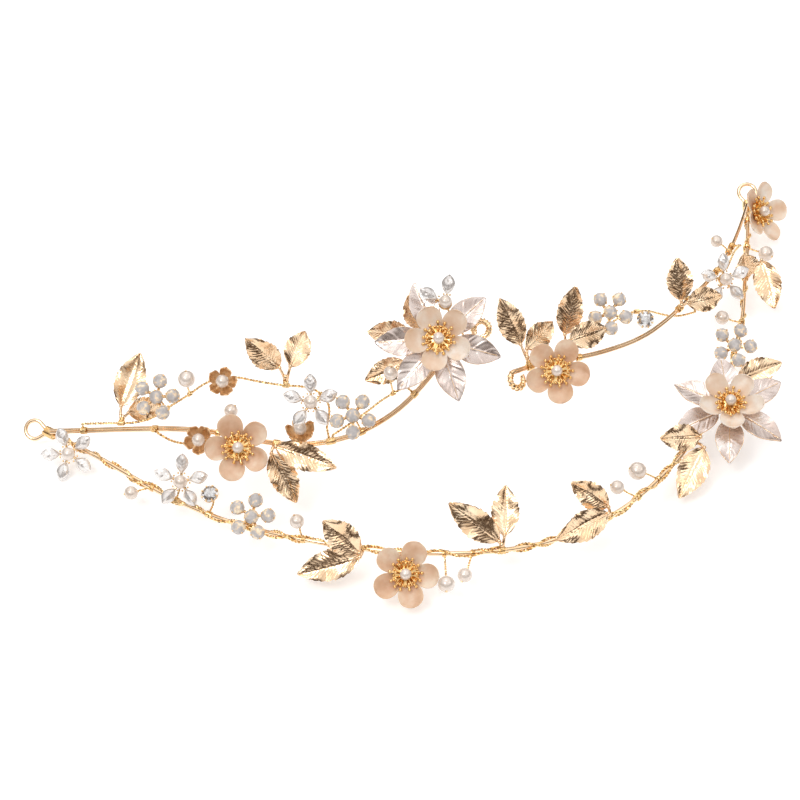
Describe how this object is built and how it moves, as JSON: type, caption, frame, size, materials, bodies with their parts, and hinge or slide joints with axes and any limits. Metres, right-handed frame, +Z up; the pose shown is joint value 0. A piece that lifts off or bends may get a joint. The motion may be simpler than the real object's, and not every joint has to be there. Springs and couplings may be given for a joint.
{
  "type": "bridal tiara",
  "caption": "Gold wire bridal headpiece: a curved front band and two upper arms dressed with leaves, flowers, stones and pearls.",
  "frame": {"origin": "middle of the footprint, on the table that the tiara rests on", "axes": "+Z up from the table; +X from the wearer's left end loop to the right one, along the longest side; the front band bows out to -Y"},
  "size_m": [0.3018, 0.1461, 0.0825],
  "materials": {
    "gold_wire": "polished light gold plate on round wire",
    "fine_twisted_wire": "light gold plate on fine twisted wire",
    "cast_gold_leaf": "polished champagne gold plate over cast veins",
    "clear_leaf": "clear moulded leaf with a silver-pink pearl coat",
    "crystal_petal": "clear pointed stone, ridged",
    "clear_stone": "clear cut stone",
    "gold_setting": "polished gold plate",
    "opal_stone": "milky opal stone with warm glints",
    "bronze_flower": "matt antique gold plate",
    "stamen_gold": "bright yellow gold plate",
    "pearl": "cream pearl lustre",
    "shell_petal": "frosted peach shell with fine fibre grain"
  },
  "bodies": {
    "front_band": {"end_crystal_petals": "crystal_petal", "end_flower_petals": "shell_petal", "front_band_wire": "gold_wire", "front_crystal_petals": "crystal_petal", "front_flower_petals": "shell_petal", "front_leaf_pair_1": "cast_gold_leaf", "front_leaf_pair_2": "cast_gold_leaf", "front_leaf_pair_3": "cast_gold_leaf", "front_leaf_pair_4": "cast_gold_leaf", "front_leaf_pair_5": "cast_gold_leaf", "front_leaf_pair_6": "cast_gold_leaf", "front_opals": "opal_stone", "front_pearls": "pearl", "front_solitaire_cup": "gold_setting", "front_solitaire_stone": "clear_stone", "front_spray_leaves": "clear_leaf", "front_spray_petals": "shell_petal", "front_stamens": "stamen_gold", "front_stems": "fine_twisted_wire", "front_stone_settings": "gold_setting", "front_vine_wire": "fine_twisted_wire", "left_end_binding": "fine_twisted_wire", "left_end_loop": "gold_wire", "right_end_binding": "fine_twisted_wire", "right_end_loop": "gold_wire"},
    "left_arm": {"left_arm_wire": "gold_wire", "left_crystal_petals": "crystal_petal", "left_cup_flowers": "bronze_flower", "left_flower_petals": "shell_petal", "left_leaf_pair_1": "cast_gold_leaf", "left_leaf_pair_2": "cast_gold_leaf", "left_leaf_pair_3": "cast_gold_leaf", "left_leaf_pair_4": "cast_gold_leaf", "left_opals": "opal_stone", "left_pearls": "pearl", "left_spray_leaves": "clear_leaf", "left_spray_petals": "shell_petal", "left_stamens": "stamen_gold", "left_stems": "fine_twisted_wire", "left_stone_settings": "gold_setting", "left_tip_loop": "gold_wire", "left_vine_wires": "fine_twisted_wire"},
    "right_arm": {"right_arm_wire": "gold_wire", "right_crystal_petals": "crystal_petal", "right_flower_petals": "shell_petal", "right_leaf_pair_1": "cast_gold_leaf", "right_leaf_pair_2": "cast_gold_leaf", "right_leaf_pair_3": "cast_gold_leaf", "right_opals": "opal_stone", "right_pearls": "pearl", "right_solitaire_cup": "gold_setting", "right_solitaire_stone": "clear_stone", "right_stamens": "stamen_gold", "right_stems": "fine_twisted_wire", "right_stone_settings": "gold_setting", "right_tip_loop": "gold_wire", "right_vine_wires": "fine_twisted_wire"}
  },
  "joints": [
    {"name": "left_arm_flex", "type": "hinge", "parent": "front_band", "child": "left_arm", "pos_m": [-0.1432, 0.0654, 0.0059], "axis": [-1, 0, 0], "range_deg": [-6, 22]},
    {"name": "right_arm_flex", "type": "hinge", "parent": "front_band", "child": "right_arm", "pos_m": [0.1428, 0.0654, 0.0059], "axis": [-1, 0, 0], "range_deg": [-2, 22]}
  ]
}
